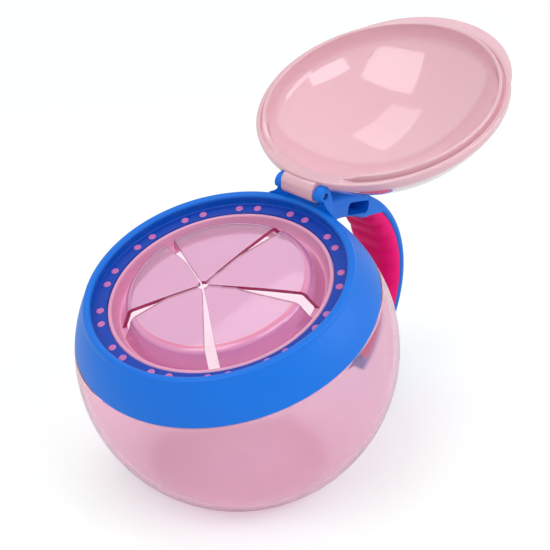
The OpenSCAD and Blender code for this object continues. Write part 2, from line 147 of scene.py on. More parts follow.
def outline(name, points, plane="XZ", closed=True):
    """A line of edges through the points, in the XZ or XY plane, made by extruding one corner."""
    at = (lambda a, b: (a, 0, b)) if plane == "XZ" else (lambda a, b: (a, b, 0))
    bpy.ops.object.select_all(action="DESELECT")
    bpy.ops.mesh.primitive_plane_add(size=1)
    obj = bpy.context.object
    obj.name = name
    edit(obj)
    bpy.ops.mesh.merge(type="CENTER")
    bpy.ops.transform.translate(value=at(*points[0]))
    for (a0, b0), (a1, b1) in zip(points, points[1:]):
        bpy.ops.mesh.extrude_vertices_move(TRANSFORM_OT_translate={"value": at(a1 - a0, b1 - b0)})
    if closed:
        bpy.ops.mesh.extrude_vertices_move(
            TRANSFORM_OT_translate={"value": at(points[0][0] - points[-1][0], points[0][1] - points[-1][1])})
        bpy.ops.mesh.select_all(action="SELECT")
        bpy.ops.mesh.remove_doubles(threshold=1e-4)
    done()
    return obj


def tidy(obj, threshold=1e-4):
    """Welds doubles and turns all faces outwards."""
    edit(obj)
    bpy.ops.mesh.remove_doubles(threshold=threshold)
    bpy.ops.mesh.normals_make_consistent(inside=False)
    done()
    return obj


def lathe(name, section, steps=192, closed=True):
    """A body of revolution: the (radius, height) section spun about Z."""
    obj = outline(name, section, "XZ", closed)
    edit(obj)
    bpy.ops.mesh.spin(steps=steps, angle=2 * math.pi, center=(0, 0, 0), axis=(0, 0, 1))
    done()
    return tidy(obj)


def prism(name, points, low, high):
    """A flat XY outline, filled and extruded from one height to another."""
    obj = outline(name, points, "XY")
    edit(obj)
    bpy.ops.mesh.edge_face_add()
    bpy.ops.transform.translate(value=(0, 0, low))
    bpy.ops.mesh.extrude_region_move(TRANSFORM_OT_translate={"value": (0, 0, high - low)})
    done()
    return tidy(obj)


def turned(obj, matrix):
    """Applies a placing matrix to the mesh."""
    obj.matrix_world = matrix @ obj.matrix_world
    only(obj)
    bpy.ops.object.transform_apply(location=True, rotation=True, scale=True)
    return obj


def cylinder(radius, depth, centre, sides=64, across=False):
    """An upright cylinder, or one along X."""
    bpy.ops.object.select_all(action="DESELECT")
    bpy.ops.mesh.primitive_cylinder_add(vertices=sides, radius=radius, depth=depth, location=centre,
                                        rotation=(0, math.pi / 2, 0) if across else (0, 0, 0))
    return turned(bpy.context.object, Matrix.Identity(4))


def ball_tool(name, radius, centre):
    """A ball to cut with."""
    bpy.ops.object.select_all(action="DESELECT")
    bpy.ops.mesh.primitive_uv_sphere_add(segments=160, ring_count=80, radius=radius, location=centre)
    bpy.context.object.name = name
    return turned(bpy.context.object, Matrix.Identity(4))


ALONG_X = Matrix(((0, 0, 1), (1, 0, 0), (0, 1, 0))).to_4x4()  # XY outline to YZ, height to X
FROM_BACK = Matrix(((1, 0, 0), (0, 0, 1), (0, 1, 0))).to_4x4()  # XY outline to XZ, height to Y


def plate(name, points, from_x, to_x):
    """A side outline of (backward, upward) points as a plate across X."""
    return turned(prism(name, points, from_x, to_x), ALONG_X)


def modify(obj, kind, **settings):
    """Adds a modifier with its settings and applies it."""
    only(obj)
    mod = obj.modifiers.new(kind.lower(), kind)
    for key, value in settings.items():
        setattr(mod, key, value)
    bpy.ops.object.modifier_apply(modifier=mod.name)
    return obj


def cut(obj, tool, how="DIFFERENCE", keep=False):
    """Boolean of one object with another, which is used up unless kept."""
    modify(obj, "BOOLEAN", operation=how, object=tool, solver="EXACT")
    if not keep:
        bpy.data.objects.remove(tool)
    return obj


def joined(name, *objs):
    """Several objects as one."""
    only(objs[0])
    for o in objs[1:]:
        o.select_set(True)
    bpy.ops.object.join()
    bpy.context.object.name = name
    return bpy.context.object


def copied(obj, name):
    """A copy with its own mesh."""
    new = obj.copy()
    new.data = obj.data.copy()
    new.name = name
    bpy.context.scene.collection.objects.link(new)
    return new


METRES = Matrix.Scale(0.001, 4)
OPENING = METRES @ Matrix.Translation((0, 0, CENTRE_H)) @ Matrix.Rotation(TILT, 4, "X")
HANDLE = METRES @ Matrix.Translation((0, HANDLE_Y, CENTRE_H + HANDLE_LIFT)) @ ALONG_X
TO_HINGE = Matrix.Translation((0, HINGE_R, HINGE_H))
LID_SWING = TO_HINGE @ Matrix.Rotation(-LID_OPEN, 4, "X") @ TO_HINGE.inverted()


def finish_piece(obj, name, material, body, nodes=(), sharp=32):
    """Names, shades and paints a piece, ties it to its body and hides the CAD nodes it stands in for."""
    obj.name = name
    only(obj)
    bpy.ops.object.shade_smooth_by_angle(angle=math.radians(sharp))
    obj.data.materials.clear()
    obj.data.materials.append(material)
    if body:
        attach(obj, body)
    if nodes:
        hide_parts(*nodes)
    return obj


# ------------------------------------------------------------------ materials
def group(name, inputs, outputs):
    """A shader node group with named number inputs and outputs."""
    g = bpy.data.node_groups.new(name, "ShaderNodeTree")
    for label, kind, value in inputs:
        s = g.interface.new_socket(name=label, in_out="INPUT", socket_type=kind)
        if value is not None:
            s.default_value = value
    for label, kind in outputs:
        g.interface.new_socket(name=label, in_out="OUTPUT", socket_type=kind)
    return g, g.nodes.new("NodeGroupInput"), g.nodes.new("NodeGroupOutput")


def skin_group():
    """Moulded surface: cloudy colour change, fine grain for the bump and slightly uneven gloss."""
    g, i, o = group("moulded skin", [
        ("Colour", "NodeSocketColor", None), ("Deep Colour", "NodeSocketColor", None),
        ("Cloud Size", "NodeSocketFloat", 40.0), ("Cloud Amount", "NodeSocketFloat", 0.5),
        ("Gloss", "NodeSocketFloat", 0.3), ("Gloss Change", "NodeSocketFloat", 0.08),
        ("Grain Size", "NodeSocketFloat", 1500.0)],
        [("Colour", "NodeSocketColor"), ("Roughness", "NodeSocketFloat"), ("Height", "NodeSocketFloat")])
    n, link = g.nodes.new, g.links.new
    place = n("ShaderNodeTexCoord")
    cloud = n("ShaderNodeTexNoise")
    cloud.inputs["Detail"].default_value = 3
    link(place.outputs["Object"], cloud.inputs["Vector"])
    link(i.outputs["Cloud Size"], cloud.inputs["Scale"])
    spread = n("ShaderNodeMapRange")
    spread.inputs["From Min"].default_value, spread.inputs["From Max"].default_value = 0.35, 0.65
    link(cloud.outputs["Fac"], spread.inputs["Value"])
    amount = n("ShaderNodeMath")
    amount.operation = "MULTIPLY"
    link(spread.outputs["Result"], amount.inputs[0])
    link(i.outputs["Cloud Amount"], amount.inputs[1])
    mix = n("ShaderNodeMix")
    mix.data_type = "RGBA"
    link(amount.outputs[0], mix.inputs["Factor"])
    link(i.outputs["Colour"], mix.inputs["A"])
    link(i.outputs["Deep Colour"], mix.inputs["B"])
    link(mix.outputs["Result"], o.inputs["Colour"])
    grain = n("ShaderNodeTexNoise")
    grain.inputs["Detail"].default_value = 2
    link(place.outputs["Object"], grain.inputs["Vector"])
    link(i.outputs["Grain Size"], grain.inputs["Scale"])
    link(grain.outputs["Fac"], o.inputs["Height"])
    uneven = n("ShaderNodeMath")
    uneven.operation = "MULTIPLY_ADD"
    link(cloud.outputs["Fac"], uneven.inputs[0])
    link(i.outputs["Gloss Change"], uneven.inputs[1])
    link(i.outputs["Gloss"], uneven.inputs[2])
    link(uneven.outputs[0], o.inputs["Roughness"])
    return g


def inside_rim_group():
    """Mask of what lies within a distance of the Z axis, with a soft edge."""
    g, i, o = group("inside the rim",
                    [("Place", "NodeSocketVector", None), ("Inner", "NodeSocketFloat", 0.0379),
                     ("Outer", "NodeSocketFloat", 0.0387)], [("Mask", "NodeSocketFloat")])
    n, link = g.nodes.new, g.links.new
    flat = n("ShaderNodeVectorMath")
    flat.operation = "MULTIPLY"
    flat.inputs[1].default_value = (1, 1, 0)
    link(i.outputs["Place"], flat.inputs[0])
    reach = n("ShaderNodeVectorMath")
    reach.operation = "LENGTH"
    link(flat.outputs["Vector"], reach.inputs[0])
    fade = n("ShaderNodeMapRange")
    fade.interpolation_type = "SMOOTHSTEP"
    fade.inputs["To Min"].default_value, fade.inputs["To Max"].default_value = 1.0, 0.0
    link(reach.outputs["Value"], fade.inputs["Value"])
    link(i.outputs["Inner"], fade.inputs["From Min"])
    link(i.outputs["Outer"], fade.inputs["From Max"])
    link(fade.outputs["Result"], o.inputs["Mask"])
    return g


SKIN = skin_group()
INSIDE_RIM = inside_rim_group()


def moulded(name, colour, deep, gloss=0.3, gloss_change=0.08, cloud=40, clouds=0.5, grain=1500, bump=0.05,
            depth=0.0001, lets_through=None, dye=None, recess_shade=None, **shader):
    """A moulded plastic or rubber from the skin group, with the shader's own constants set on its sockets."""
    m = bpy.data.materials.new(name)
    m.use_nodes = True
    t = m.node_tree
    b = t.nodes["Principled BSDF"]
    for key, value in shader.items():
        b.inputs[key.replace("_", " ")].default_value = value
    skin = t.nodes.new("ShaderNodeGroup")
    skin.node_tree = SKIN
    skin.inputs["Colour"].default_value = (*colour, 1)
    skin.inputs["Deep Colour"].default_value = (*deep, 1)
    skin.inputs["Cloud Size"].default_value, skin.inputs["Cloud Amount"].default_value = cloud, clouds
    skin.inputs["Gloss"].default_value, skin.inputs["Gloss Change"].default_value = gloss, gloss_change
    skin.inputs["Grain Size"].default_value = grain
    relief = t.nodes.new("ShaderNodeBump")
    relief.inputs["Strength"].default_value = bump
    relief.inputs["Distance"].default_value = depth
    colour_out = skin.outputs["Colour"]
    if recess_shade:
        # painted shade: a darker colour on everything inside the opening's rim, standing in for the shadow on
        # the ledge and the crest's inner wall
        mask = t.nodes.new("ShaderNodeGroup")
        mask.node_tree = INSIDE_RIM
        place = t.nodes.new("ShaderNodeTexCoord")
        turn = t.nodes.new("ShaderNodeMapping")
        turn.vector_type = "TEXTURE"
        turn.inputs["Location"].default_value = (0, 0, CENTRE_H / 1000)
        turn.inputs["Rotation"].default_value = (TILT, 0, 0)
        t.links.new(place.outputs["Object"], turn.inputs["Vector"])
        t.links.new(turn.outputs["Vector"], mask.inputs["Place"])
        blend = t.nodes.new("ShaderNodeMix")
        blend.data_type = "RGBA"
        blend.inputs["B"].default_value = (*recess_shade, 1)
        t.links.new(mask.outputs["Mask"], blend.inputs["Factor"])
        t.links.new(colour_out, blend.inputs["A"])
        colour_out = blend.outputs["Result"]
    t.links.new(colour_out, b.inputs["Base Color"])
    t.links.new(skin.outputs["Roughness"], b.inputs["Roughness"])
    t.links.new(skin.outputs["Height"], relief.inputs["Height"])
    t.links.new(relief.outputs["Normal"], b.inputs["Normal"])
    if lets_through:
        path = t.nodes.new("ShaderNodeLightPath")
        clear = t.nodes.new("ShaderNodeBsdfTransparent")
        clear.inputs["Color"].default_value = (*lets_through, 1)
        mix = t.nodes.new("ShaderNodeMixShader")
        t.links.new(path.outputs["Is Shadow Ray"], mix.inputs["Fac"])
        t.links.new(b.outputs["BSDF"], mix.inputs[1])
        t.links.new(clear.outputs["BSDF"], mix.inputs[2])
        t.links.new(mix.outputs["Shader"], t.nodes["Material Output"].inputs["Surface"])
    if dye:
        inside = t.nodes.new("ShaderNodeVolumeAbsorption")
        inside.inputs["Color"].default_value = (*dye[0], 1)
        inside.inputs["Density"].default_value = dye[1]
        t.links.new(inside.outputs["Volume"], t.nodes["Material Output"].inputs["Volume"])
    return m


def srgb(r, g, b):
    """A screen colour of 0 to 255 as the scene's linear colour."""
    return tuple(((c / 255 + 0.055) / 1.055) ** 2.4 if c > 10 else c / 255 / 12.92 for c in (r, g, b))


BOWL_PLASTIC = moulded("tinted bowl plastic", srgb(240, 227, 234), srgb(238, 223, 231), gloss=0.07,
                       gloss_change=0.05, cloud=18, clouds=0.6, bump=0.02, lets_through=(0.88, 0.97, 0.93),
                       dye=((0.76, 0.0, 0.3), 92), Transmission_Weight=0.93, IOR=1.22)
LID_PLASTIC = moulded("tinted lid plastic", srgb(232, 191, 201), srgb(229, 184, 195), gloss=0.08,
                      gloss_change=0.05, cloud=18, clouds=0.6, bump=0.02, lets_through=(0.93, 0.92, 0.93),
                      dye=((0.94, 0.0, 0.25), 18), Transmission_Weight=0.28, IOR=1.46, Coat_Weight=1.0,
                      Coat_Roughness=0.04)
BLUE_PLASTIC = moulded("blue moulded plastic", srgb(8, 112, 218), srgb(5, 105, 211), gloss=0.34,
                       gloss_change=0.1, cloud=25, clouds=0.6, grain=2200, bump=0.06,
                       Specular_IOR_Level=0.3, IOR=1.46)
# the collar's darker blue inside its rim is painted shade on the ledge and the crest's inner wall
COLLAR_PLASTIC = moulded("blue collar plastic", srgb(4, 110, 216), srgb(2, 104, 209), gloss=0.36,
                         gloss_change=0.1, cloud=25, clouds=0.6, grain=2200, bump=0.06,
                         recess_shade=srgb(0, 60, 168), Specular_IOR_Level=0.3, IOR=1.46)
GRIP_RUBBER = moulded("grip rubber", srgb(236, 6, 118), srgb(222, 3, 104), gloss=0.55, gloss_change=0.1,
                      cloud=60, clouds=0.6, grain=2600, bump=0.15, Specular_IOR_Level=0.2, IOR=1.45)
FLAP_RUBBER = moulded("clear tinted flap rubber", srgb(226, 200, 219), srgb(222, 192, 213), gloss=0.08,
                      gloss_change=0.06, cloud=30, clouds=0.6, bump=0.03, lets_through=(0.98, 0.92, 0.955),
                      dye=((0.95, 0.0, 0.65), 150), Transmission_Weight=0.8, IOR=1.42, Coat_Weight=0.5,
                      Coat_Roughness=0.04)
RIM_RUBBER = moulded("thick flap rubber", srgb(238, 182, 212), srgb(233, 172, 204), gloss=0.1,
                     gloss_change=0.06, cloud=30, clouds=0.6, bump=0.03, lets_through=(0.97, 0.9, 0.94),
                     dye=((0.97, 0.0, 0.6), 50), Transmission_Weight=0.3, IOR=1.42)
# painted shade: a deeper copy of the flap rubber for the drum's wall, standing in for the rubber darkening
# where it is seen edge-on
WALL_SHADE_RUBBER = moulded("flap rubber with painted wall shade", srgb(228, 164, 202), srgb(222, 152, 194), gloss=0.05,
                      gloss_change=0.06, cloud=30, clouds=0.6, bump=0.03, lets_through=(0.97, 0.88, 0.93),
                      dye=((1.0, 0.0, 0.75), 100), Transmission_Weight=0.52, IOR=1.42, Coat_Weight=1.0,
                      Coat_Roughness=0.04)
# painted shade: a dark copy of the flap rubber for the cut lips of the slits, standing in for the rubber
# darkening where it is seen edge-on
LIP_SHADE_RUBBER = moulded("flap rubber with painted lip shade", srgb(196, 62, 116), srgb(180, 48, 100), gloss=0.2,
                     gloss_change=0.08, cloud=60, clouds=0.6, bump=0.03, lets_through=(0.95, 0.8, 0.88),
                     dye=((0.95, 0.0, 0.4), 150), Transmission_Weight=0.35, IOR=1.42)
PEG_RUBBER = moulded("milky peg rubber", srgb(200, 116, 180), srgb(184, 100, 168), gloss=0.3,
                     gloss_change=0.1, cloud=200, clouds=0.7, bump=0.03, IOR=1.42)
SEAL_RUBBER = moulded("white seal rubber", srgb(238, 238, 234), srgb(226, 226, 222), gloss=0.5, cloud=60,
                      grain=3000, bump=0.12)
PIN_STEEL = moulded("ground pin steel", srgb(150, 160, 180), srgb(128, 138, 160), gloss=0.22,
                    gloss_change=0.2, cloud=300, grain=6000, bump=0.1, Metallic=1.0)


# ------------------------------------------------------------------ bowl
def foot_tool(name, start, level, fillet, ball_r):
    """What lies under a flat floor in or under the ball: floor profile, rounding and outward tangent."""
    rise = CENTRE_H - level - fillet
    reach = ball_r - fillet - 0.03
    middle = math.sqrt(reach ** 2 - rise ** 2)
    contact = -math.degrees(math.atan2(rise, middle))
    curve = arc((middle, level + fillet), fillet, -90, contact, 6)
    slope = math.radians(contact + 90)
    end = (curve[-1][0] + 24 * math.cos(slope), curve[-1][1] + 24 * math.sin(slope))
    return lathe(name, start + curve + [end, (end[0], -9), (0, -9)], closed=False)


def make_bowl():
    """Thin-walled ball with a flat foot, a rounded shoulder and a neck with a thread ridge."""
    core = NECK_R - 0.6
    outer = arc((0, 0), BALL_R, -90, math.degrees(math.asin(SHOULDER_H / BALL_R)), 72)
    full = outer[:-1] + rounded([(*outer[-2], 0), (*outer[-1], 0.8), (core, SHOULDER_H, 0.35),
                                 (core, NECK_TOP_H, 0.4), (NECK_BORE_R - 1, NECK_TOP_H, 0),
                                 (0, NECK_TOP_H, 0)], 4)[1:-1] + [(0.0, NECK_TOP_H)]
    full[0] = (0.0, -BALL_R)
    bowl = turned(lathe("bowl", full, closed=False), Matrix.Rotation(TILT, 4, "X"))
    cut(bowl, turned(make_thread("neck thread", core - 0.4, NECK_R, SHOULDER_H + 1.2, 0.5, math.radians(70)),
                     Matrix.Rotation(TILT, 4, "X")), "UNION")
    turned(bowl, Matrix.Translation((0, 0, CENTRE_H)))
    # flat foot: rounded outer edge, a shallow dish and a moulding gate in its middle
    dish = [(2.2 + 21.3 * i / 12, 0.5 * (1 - (i / 12) ** 2) ** 1.5) for i in range(13)]
    cut(bowl, foot_tool("foot", [(0, 0.25), (1.4, 0.25), (1.7, 0.5)] + dish, 0.0, 3.0, BALL_R))
    # hollow
    inner_r = BALL_R - BALL_WALL
    inner = arc((0, 0), inner_r, -90, math.degrees(math.asin((SHOULDER_H - BALL_WALL) / inner_r)), 72)
    room = inner[:-1] + rounded([(*inner[-2], 0), (*inner[-1], 0.8),
                                 (NECK_BORE_R, SHOULDER_H - BALL_WALL, 1.2),
                                 (NECK_BORE_R, NECK_TOP_H - 0.4, 0), (NECK_BORE_R + 0.5, NECK_TOP_H + 0.1, 0),
                                 (NECK_BORE_R + 0.5, NECK_TOP_H + 5, 0),
                                 (0, NECK_TOP_H + 5, 0)], 4)[1:-1] + [(0.0, NECK_TOP_H + 5)]
    room[0] = (0.0, -inner_r)
    hollow = turned(lathe("hollow", room, closed=False), Matrix.Translation((0, 0, CENTRE_H))
                    @ Matrix.Rotation(TILT, 4, "X"))
    cut(hollow, foot_tool("floor", [(0, FLOOR_T)], FLOOR_T, 5.0, inner_r))
    cut(bowl, hollow)
    return finish_piece(turned(bowl, METRES), "bowl_shell", BOWL_PLASTIC, "bowl", ["bowl"])


def make_thread(name, foot_r, top_r, start_h, turns, start_turn):
    """A thread ridge on the neck or in the collar: a low trapezium screwed up along the opening axis."""
    obj = outline(name, [(foot_r, start_h - 0.75), (top_r, start_h - 0.3), (top_r, start_h + 0.3),
                         (foot_r, start_h + 0.75)])
    modify(obj, "SCREW", angle=2 * math.pi * turns, screw_offset=THREAD_PITCH * turns, steps=int(120 * turns),
           render_steps=int(120 * turns))
    edit(obj)
    bpy.ops.mesh.fill_holes(sides=0)
    done()
    return turned(tidy(obj), Matrix.Rotation(start_turn, 4, "Z"))


def make_seal():
    """Soft ring on top of the neck, its corners eased and a small bead on its top face."""
    section = rounded([(NECK_BORE_R + 0.05, NECK_TOP_H + 0.02, 0.25),
                       (NECK_R - 0.65, NECK_TOP_H + 0.02, 0.25),
                       (NECK_R - 0.65, SOCKET_TOP_H - 0.35, 0.25), (NECK_R - 1.0, SOCKET_TOP_H - 0.03, 0.2),
                       (NECK_BORE_R + 0.4, SOCKET_TOP_H - 0.03, 0.2),
                       (NECK_BORE_R + 0.05, SOCKET_TOP_H - 0.35, 0.25)], 3)
    return finish_piece(turned(lathe("neck seal", section), OPENING), "seal_ring", SEAL_RUBBER, "seal",
                        ["neck_seal"])


# ------------------------------------------------------------------ collar
PEG_RING_R = (LEDGE_HOLE_R + CREST_R) / 2


def around_pegs():
    """Angles of the pegs, which stand in pairs, from the X axis."""
    return [math.radians(90 + pair * 360 / PEG_PAIRS + side * PEG_SPREAD) for pair in range(PEG_PAIRS)
            for side in (-1, 1)]


def ear(side):
    """One ear: a round eye on a straight foot, the edges of both faces eased over."""
    front, rear = 39.98, HINGE_R + KNUCKLE_R
    foot_h = 21.0
    points = ([(front, foot_h), (rear, foot_h)] + arc((HINGE_R, HINGE_H), KNUCKLE_R, 0, 180, 24)
              + [(front, HINGE_H - 2.81)])
    x0, x1 = (EAR_IN_X, EAR_IN_X + EAR_T) if side > 0 else (-EAR_IN_X - EAR_T, -EAR_IN_X)
    obj = plate("ear", points, x0, x1)
    outer_x, inner_x = (x1, x0) if side > 0 else (x0, x1)
    for at_x, width, parts in ((outer_x, 0.9, 4), (inner_x, 0.25, 2)):
        ease(obj, lambda a, b: abs(a.x - at_x) < 1e-3 and abs(b.x - at_x) < 1e-3, width, parts)
    return obj


def flare(side):
    """Corner between an ear's outer face and the crest, hollowed from above and from behind."""
    radius, low = 4.0, 26.0
    face = EAR_IN_X + EAR_T
    mid_x, mid_h = face + radius, CREST_H + radius
    mid_y = math.sqrt((CREST_R + 2 * CREST_ROUND + radius) ** 2 - mid_x ** 2)
    plan = [(face - 1.2, 38.0), (face - 1.2, mid_y)] + arc((mid_x, mid_y), radius, 180, 252,
                                                           16) + [(13.3, 38.0)]
    block = prism("flare", [(x * side, y) for x, y in plan], low, mid_h)
    rise = ([(face - 3, low - 2), (face - 3, mid_h + 0.01)] + arc((mid_x, mid_h), radius, 180, 270, 16)
            + [(mid_x + 2, CREST_H), (mid_x + 2, low - 2)])
    side_view = prism("rise", [(x * side, h) for x, h in rise], 30, 50)
    cut(block, tidy(turned(side_view, FROM_BACK)), "INTERSECT")
    return cut(block, cylinder(RIM_R + 0.3, 40, (0, 0, 30), 192))


def make_collar():
    """Ball-shaped ring with a rounded crest, a ledge with peg holes, a threaded socket and two ears."""
    low_a, high_a = (math.degrees(math.asin(height / BALL_R)) for height in (COLLAR_LOW_H, COLLAR_HIGH_H))
    outer = arc((0, 0), BALL_R, low_a, high_a, 20)
    bead = arc((CREST_R + CREST_ROUND, CREST_H - CREST_ROUND), CREST_ROUND, -8, 188, 16)
    section = rounded([(*outer[0], 0.5)] + [(*p, 0) for p in outer[1:]] + [(*p, 0) for p in bead[1:]]
                      + [(CREST_R, LEDGE_TOP_H, 0.5), (LEDGE_HOLE_R + 0.08, LEDGE_TOP_H, 0.25),
                         (LEDGE_HOLE_R + 0.08, SOCKET_TOP_H, 0.2), (SOCKET_R, SOCKET_TOP_H, 0.4),
                         (SOCKET_R, COLLAR_LOW_H, 0.4)], 4)
    collar = lathe("collar", section)
    holes = [cylinder(PEG_R + PEG_FIT, 6, (PEG_RING_R * math.cos(a), PEG_RING_R * math.sin(a), 23.6), 24)
             for a in around_pegs()]
    cut(collar, joined("peg holes", *holes))
    ears = []
    for side in (1, -1):
        e = ear(side)
        cut(e, flare(side), "UNION")
        ears.append(e)
    inner_r = BALL_R - 1.35
    hollow = lathe("hollow", [(0, -50)] + arc((0, 0), inner_r, -60, 90, 96)[:-1] + [(0, inner_r)],
                   closed=False)
    for e in ears:
        cut(e, hollow, keep=True)
        cut(collar, e, "UNION")
    bpy.data.objects.remove(hollow)
    cut(collar, cylinder(PIN_R + 0.02, 40, (0, HINGE_R, HINGE_H), 48, across=True))
    thread = make_thread("collar thread", SOCKET_R + 0.3, NECK_R - 0.3, 17.2, 0.55, math.radians(250))
    collar = joined("collar", collar, thread)
    turned(collar, OPENING)
    return finish_piece(collar, "collar_ring", COLLAR_PLASTIC, "collar", ["collar"])


# ------------------------------------------------------------------ handle
def band(name, from_r, to_r, from_a, to_a, edge, step=1.5):
    """A stretch of the handle's curve with a rounded section, closed at both ends."""
    half = HANDLE_W / 2
    obj = outline(name, rounded([(from_r, -half, edge), (to_r, -half, edge), (to_r, half, edge),
                                 (from_r, half, edge)], 5))
    turned(obj, Matrix.Rotation(math.radians(from_a), 4, "Z"))
    edit(obj)
    bpy.ops.mesh.spin(steps=int(abs(to_a - from_a) / step), angle=math.radians(to_a - from_a),
                      center=(0, 0, 0), axis=(0, 0, -1))
    bpy.ops.mesh.select_all(action="SELECT")
    bpy.ops.mesh.fill_holes(sides=0)
    done()
    return tidy(obj)


HANDLE_IN_R, STRIP_IN_R = HANDLE_R - SHELL_T - GRIP_T, HANDLE_R - SHELL_T
GRIP_TOP = HANDLE_R - 11.5
GRIP_BEND = math.sqrt(HANDLE_IN_R ** 2 - GRIP_TOP ** 2) + 3.6
TIP_A, TIP_STEP, POCKET_A, ROOT_A = -57.0, 4.52, 67.6, 112.0
WAVE_PITCH, WAVE_DEPTH = 6.0, 0.8


def above_grip(low, high, lift=0.0):
    """Everything above the line where the grip ends."""
    down = math.tan(math.radians(-11))
    return prism("above grip", [(-60, GRIP_TOP + lift), (GRIP_BEND, GRIP_TOP + lift),
                                (80, GRIP_TOP + lift + down * (80 - GRIP_BEND)), (80, 90), (-60, 90)], low,
                 high)


def make_handle():
    """Hard shell of the handle: full root with two side pockets, thin strip behind the grip, full tip."""
    root = band("root", HANDLE_IN_R, HANDLE_R, 25, ROOT_A, 1.5)
    cut(root, above_grip(-20, 20), "INTERSECT")
    strip = band("strip", STRIP_IN_R, HANDLE_R, TIP_A, 60, 1.2)
    tip = band("tip", HANDLE_IN_R, HANDLE_R, TIP_A, TIP_A + TIP_STEP, 1.5)
    cut(root, strip, "UNION")
    cut(root, tip, "UNION")
    # pockets in both sides, with a web between them
    half_across, half_along, corner, web, depth = 2.1, 5.1, 1.3, 3.6, 9
    plan = rounded([(-half_across, -half_along, corner), (half_across, -half_along, corner),
                    (half_across, half_along, corner), (-half_across, half_along, corner)], 6)
    for side in (1, -1):
        pocket = prism("pocket", plan, 0, depth)
        middle = Matrix.Rotation(math.radians(POCKET_A), 4, "Z") @ Vector((HANDLE_R - 4.3, 0, 0))
        turned(pocket, Matrix.Translation(middle) @ Matrix.Rotation(math.radians(POCKET_A + 8), 4, "Z"))
        turned(pocket, Matrix.Translation((0, 0, web / 2 if side > 0 else -web / 2 - depth)))
        cut(root, pocket)
    back_to_handle = HANDLE.inverted() @ METRES @ Matrix.Translation((0, 0, CENTRE_H))
    cut(root, turned(ball_tool("bowl room", BALL_R, (0, 0, 0)), back_to_handle))
    to_opening = HANDLE.inverted() @ OPENING
    seat = ball_tool("lid seat", BALL_R + 0.4, (0, 0, DOME_LIFT))
    cut(root, turned(seat, to_opening @ LID_SWING))
    tab_room = 4.54
    cut(root, turned(cylinder(tab_room, 2 * EAR_IN_X, (0, HINGE_R, HINGE_H), across=True), to_opening))
    cut(root, turned(cylinder(RIM_R + 0.4, 20, (0, 0, CREST_H + 10), 192), to_opening))
    for side in (1, -1):
        cut(root, turned(ear(side), to_opening))
    modify(root, "BEVEL", width=0.35, segments=2, limit_method="ANGLE", angle_limit=math.radians(42),
           use_clamp_overlap=True)
    tidy(root, 1e-3)
    turned(root, HANDLE)
    return finish_piece(root, "handle_shell", BLUE_PLASTIC, "collar", ["handle"])


def make_grip():
    """Soft inner side of the handle: a crowned pad in shallow finger waves that die out at its sides."""
    start, stop, half = TIP_A + TIP_STEP + 0.15, 80.0, HANDLE_W / 2
    deep, wide = 4.3, 5.2
    corner = arc((0, 0), 1, 180, 90, 10)
    side = [(HANDLE_IN_R + 0.02 + deep * (1 + u), half - wide + wide * v) for u, v in corner]
    section = ([(r, -z) for r, z in side[::-1]] + [(HANDLE_IN_R + 0.02, z) for z in (-1.8, 0, 1.8)] + side
               + [(STRIP_IN_R - 0.28, half), (STRIP_IN_R - 0.03, half - 0.25),
                  (STRIP_IN_R - 0.03, 0.25 - half), (STRIP_IN_R - 0.28, -half)])
    grip = outline("grip", section)
    turned(grip, Matrix.Rotation(math.radians(start), 4, "Z"))
    edit(grip)
    bpy.ops.mesh.spin(steps=int((stop - start) / 0.75), angle=math.radians(stop - start), center=(0, 0, 0),
                      axis=(0, 0, -1))
    bpy.ops.mesh.select_all(action="SELECT")
    bpy.ops.mesh.fill_holes(sides=0)
    done()
    tidy(grip)
    # waves
    pitch = math.degrees(WAVE_PITCH / HANDLE_IN_R)
    top = math.degrees(math.asin(GRIP_TOP / HANDLE_IN_R)) - 4
    for v in grip.data.vertices:
        a = math.degrees(math.atan2(v.co.y, v.co.x))
        run = (a - start) / pitch
        reach = v.co.to_2d().length
        share = max(0.0, 1 - (reach - HANDLE_IN_R) / 3.2)
        if run > 0.5 and a < top and share > 0:
            depth = WAVE_DEPTH * (0.5 + 0.5 * math.cos(2 * math.pi * run)) ** 1.6 * share
            v.co.x += depth * math.cos(math.radians(a))
            v.co.y += depth * math.sin(math.radians(a))
    cut(grip, above_grip(-20, 20, -0.05))
    turned(tidy(grip), HANDLE)
    return finish_piece(grip, "grip_pad", GRIP_RUBBER, "collar", ["grip"], sharp=50)


# ------------------------------------------------------------------ flap
def make_flap_rim():
    """The flap's rim, with its moat, bead and flange, and the pegs that lock it in the ledge."""
    section = rounded([(29.1, MOAT_H - 0.02, 0.05), (31.22, MOAT_H - 0.02, 0.9)]
                      + [(x, y, 0) for x, y in arc((33.28, 24.08), 0.7, 172, 0, 10)]
                      + [(33.98, SOCKET_TOP_H - 0.03, 0.1), (FLANGE_R, SOCKET_TOP_H - 0.03, 0.2),
                         (FLANGE_R, 21.3, 0.3), (33.28, 21.3, 0.6), (31.92, MOAT_H - FLAP_T, 0.6),
                         (29.1, MOAT_H - FLAP_T, 0.3)], 4)
    rim = lathe("flap rim", section)
    pegs = []
    for a in around_pegs():
        peg = cylinder(PEG_R, 3.0, (PEG_RING_R * math.cos(a), PEG_RING_R * math.sin(a), 23.35), 24)
        # domed end with a dimple
        pick(peg, "polygons", lambda c, n: n.z > 0.9)
        bpy.ops.mesh.inset(thickness=0.16, depth=0.1)
        bpy.ops.mesh.inset(thickness=0.35, depth=0.06)
        bpy.ops.mesh.inset(thickness=0.2, depth=-0.12)
        done()
        pegs.append(peg)
    turned(rim, OPENING)
    finish_piece(rim, "flap_rim", RIM_RUBBER, "collar", ["flap_ring"])
    finish_piece(turned(joined("flap pegs", *pegs), OPENING), "flap_pegs", PEG_RUBBER, "collar",
                 ["flap_ring"])


